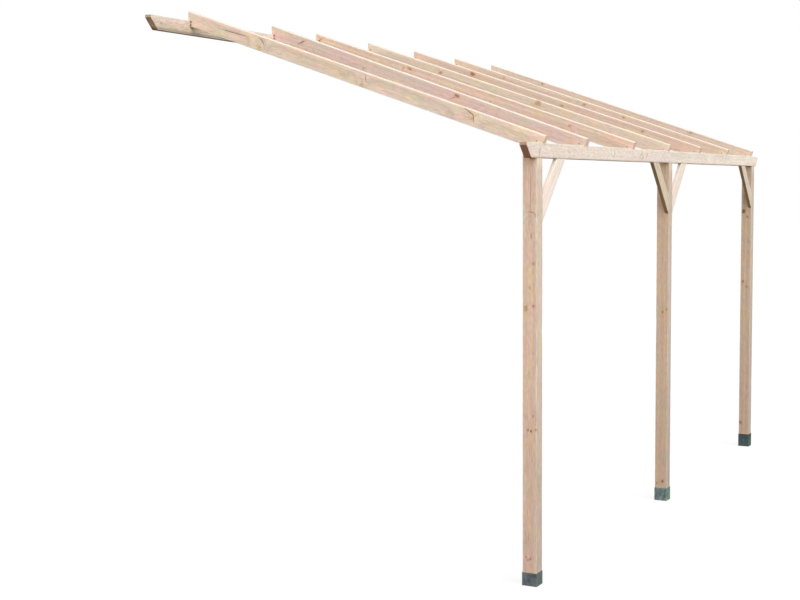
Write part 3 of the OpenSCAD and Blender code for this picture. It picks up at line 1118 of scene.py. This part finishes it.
# Colour and gloss of each shoe's coat
SHOES = {
    "post_shoe_1": ((0.072, 0.094, 0.106), STEEL_GLOSS),
    "post_shoe_2": ((0.125, 0.190, 0.180), STEEL_GLOSS),
    "post_shoe_3": ((0.004, 0.040, 0.036), 0.04),
}
SHOE_RUST = 0.12
for node, (colour, gloss) in SHOES.items():
    make_shoe(node, steel_material(node + "_coat", colour, SHOE_RUST, gloss=gloss))
RUSTY_STEEL = steel_material("rusty_screws", (0.11, 0.074, 0.052), rust=0.80)
BROWN_STEEL = steel_material("brown_screws", (0.27, 0.18, 0.13), rust=0.20)
BRIGHT_STEEL = steel_material("bright_screws", (0.45, 0.43, 0.40), rust=0.10, metal=0.7, gloss=0.4)
BLUE_STEEL = steel_material("blue_screws", (0.055, 0.075, 0.10), rust=0.10)

# Screws in the sides of the rafters' heads and feet: millimetres along the grain and below the top edge
HEAD_SCREWS = dict.fromkeys(RAFTERS, [(2660, 50)])
HEAD_SCREWS["rafter_1"] = [(2657, 66), (2650, 85)]
HEAD_SCREWS["rafter_2"] = [(2673, 62), (2666, 83)]
HEAD_SCREWS["rafter_3"] = [(2652, 45)]
FOOT_SCREWS = dict.fromkeys(RAFTERS, [(43, 47)])
# Screws through the posts' tongues: shares of the post's width, and height above the beam's underside
TONGUE_SCREWS = (0.28, 0.72)
TONGUE_SCREW_UP = 22 * MM


def rafter_screws(screws):
    """Screws in both sides of the rafters."""
    spots = []
    for node, marks in screws.items():
        place, size = made[node]
        for along, below in marks:
            for side in (-1, 1):
                spot = Vector((side * size.x / 2, below * MM - size.y / 2, along * MM))
                spots.append((place @ spot, place.to_3x3() @ Vector((side, 0, 0))))
    return spots


def tongue_screws():
    """Two screws in the back of each post, through its tongue into the beam."""
    spots = []
    beam_low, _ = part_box("eaves_beam_left")
    for node in POSTS:
        low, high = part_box(node)
        for share in TONGUE_SCREWS:
            x = low.x + share * (high.x - low.x)
            spots.append((Vector((x, high.y, beam_low.z + TONGUE_SCREW_UP)), BACK))
    return spots


def shoe_screws():
    """One coach screw in each side of a shoe, along the eaves."""
    spots = []
    for number in range(1, 4):
        low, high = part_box(f"post_shoe_{number}")
        middle = (low + high) / 2
        for side, x in ((-1, low.x), (1, high.x)):
            spots.append((Vector((x, middle.y, middle.z)), Vector((side, 0, 0))))
    return spots


make_fixings("rafter_head_screws", RUSTY_STEEL, rafter_screws(HEAD_SCREWS), add_screw)
make_fixings("rafter_foot_screws", BROWN_STEEL, rafter_screws(FOOT_SCREWS), add_foot_screw)
make_fixings("tongue_screws", BRIGHT_STEEL, tongue_screws(), add_screw)
make_fixings("shoe_coach_screws", BLUE_STEEL, shoe_screws(), add_coach_screw)


# Studio


def seen_directly(graph):
    """1 for rays from the camera, in reflections and through glass, 0 for light that falls on the object."""
    path = graph.add("ShaderNodeLightPath").outputs
    seen = graph.math("MAXIMUM", path["Is Camera Ray"], path["Is Glossy Ray"])
    return graph.math("MAXIMUM", seen, path["Is Transmission Ray"])


def blend_shaders(graph, factor, first, second, target):
    """Sends a blend of two shaders to an output node."""
    blend = graph.add("ShaderNodeMixShader")
    graph.fill(blend, (factor, first.outputs[0], second.outputs[0]))
    graph.put(graph.add(target).inputs["Surface"], blend.outputs[0])


def make_world():
    """White where it is seen, and a soft sky, brightest near the horizon, where it lights the object."""
    world = bpy.data.worlds.new("studio")
    world.use_nodes = True
    scene.world = world
    graph = Graph(world.node_tree)
    world.node_tree.nodes.clear()
    height = graph.split(graph.add("ShaderNodeTexCoord").outputs["Generated"])[2]
    level = graph.span(graph.math("MAXIMUM", height, 0.0), SKY_LOW, SKY_HIGH)
    sky = graph.add("ShaderNodeBackground")
    graph.put(sky.inputs["Strength"], graph.times(graph.step(height, 0.0, SKY_RISE), level))
    white = graph.add("ShaderNodeBackground")
    white.inputs["Color"].default_value = WHITE
    blend_shaders(graph, seen_directly(graph), sky, white, "ShaderNodeOutputWorld")


def make_lamp(name, share, toward):
    lamp = bpy.data.lights.new(name, "SUN")
    lamp.energy = share * math.pi
    lamp.angle = SOFTNESS
    holder = bpy.data.objects.new(name, lamp)
    scene.collection.objects.link(holder)
    holder.rotation_mode = "QUATERNION"
    holder.rotation_quaternion = toward.normalized().to_track_quat("Z", "Y")
    holder.location = toward.normalized() * LAMP_AWAY


def make_floor():
    """White where it is seen, with the object's soft shadow, and dark where it would throw light up."""
    bm = bmesh.new()
    bmesh.ops.create_grid(bm, x_segments=FLOOR_PARTS, y_segments=FLOOR_PARTS, size=FLOOR_SIZE)
    material = bpy.data.materials.new("floor")
    material.use_nodes = True
    graph = Graph(material.node_tree)
    material.node_tree.nodes.clear()
    seen = seen_directly(graph)
    matt = graph.add("ShaderNodeBsdfDiffuse")
    graph.put(matt.inputs["Color"], graph.mix(seen, FLOOR_BOUNCE, WHITE))
    glow = graph.add("ShaderNodeEmission")
    glow.inputs["Color"].default_value = WHITE
    blend_shaders(graph, graph.times(seen, FLOOR_GLOW), matt, glow, "ShaderNodeOutputMaterial")
    floor = new_piece("floor", bm, material, Matrix.Translation((0, 0, cad_low.z)))


def make_camera():
    camera = bpy.data.cameras.new("camera")
    camera.sensor_fit = "HORIZONTAL"
    camera.sensor_width = SENSOR
    camera.lens = LENS
    camera.clip_end = CLIP_END
    flat = math.cos(CAMERA_PITCH)
    ahead = Vector((math.cos(CAMERA_YAW) * flat, math.sin(CAMERA_YAW) * flat, math.sin(CAMERA_PITCH)))
    level = Vector((math.sin(CAMERA_YAW), -math.cos(CAMERA_YAW), 0))
    above = level.cross(ahead)
    right = level * math.cos(CAMERA_ROLL) + above * math.sin(CAMERA_ROLL)
    top = above * math.cos(CAMERA_ROLL) - level * math.sin(CAMERA_ROLL)
    holder = bpy.data.objects.new("camera", camera)
    scene.collection.objects.link(holder)
    turn = Matrix((right, top, -ahead)).transposed().to_4x4()
    holder.matrix_world = Matrix.Translation(CAMERA_PLACE) @ turn
    scene.camera = holder


make_world()
make_lamp("key", KEY, KEY_FROM)
make_lamp("fill", FILL, FILL_FROM)
make_floor()
make_camera()
